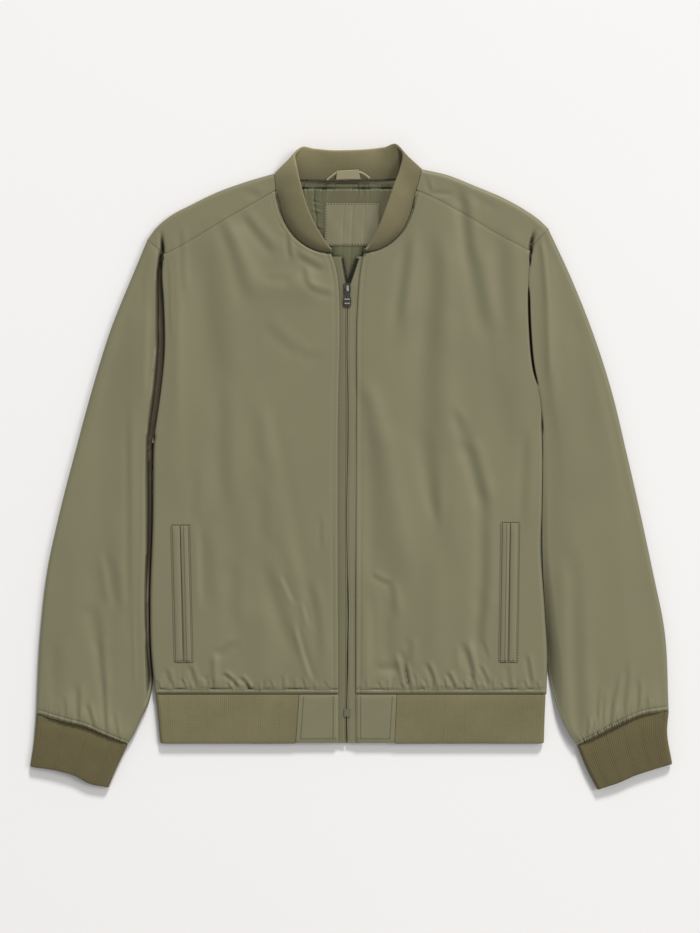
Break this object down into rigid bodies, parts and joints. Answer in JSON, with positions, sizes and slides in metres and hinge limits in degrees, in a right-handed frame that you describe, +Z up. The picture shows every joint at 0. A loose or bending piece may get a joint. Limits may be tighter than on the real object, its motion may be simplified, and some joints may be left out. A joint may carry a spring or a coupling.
{
  "type": "bomber jacket",
  "caption": "Zip-up bomber jacket laid flat, front up, with a ribbed stand collar, cuffs and hem band, welt pockets and a lined neck opening with a hanging loop.",
  "frame": {"origin": "on the surface that the jacket lies on, below the middle of its outline", "axes": "+Z up, out of the jacket's front; +Y from hem to collar; +X to the wearer's left, which is the viewer's right"},
  "size_m": [0.75, 0.7519, 0.0247],
  "materials": {
    "shell": "smooth woven shell with a faint sheen, khaki olive",
    "rib": "matte 1x1 rib knit, olive",
    "lining": "thin smooth lining, grey olive",
    "patch": "smooth woven patch, bare",
    "loop": "light khaki woven tape and cord, bare",
    "zip_tape": "woven tape, olive",
    "zip_metal": "dark gunmetal with worn bright edges"
  },
  "bodies": {
    "jacket": {"back_lining": "lining", "back_panel": "shell", "collar": "rib", "cuff_left": "rib", "cuff_right": "rib", "front_left": "shell", "front_right": "shell", "hanger_loop": "loop", "hanger_tab": "loop", "hem_band": "rib", "hem_tab_left": "shell", "hem_tab_right": "shell", "neck_patch": "patch", "pocket_left_welt_inner": "shell", "pocket_left_welt_outer": "shell", "pocket_right_welt_inner": "shell", "pocket_right_welt_outer": "shell", "sleeve_left": "shell", "sleeve_right": "shell", "zip_box": "zip_metal", "zip_slider": "zip_metal", "zip_tape_left": "zip_tape", "zip_tape_right": "zip_tape"},
    "pull_tab": {"zip_pull": "zip_metal"}
  },
  "joints": [
    {"name": "pull_tab_hinge", "type": "hinge", "parent": "jacket", "child": "pull_tab", "pos_m": [-0.0047, 0.209, 0.0099], "axis": [-1, 0, 0], "range_deg": [0, 170]}
  ]
}
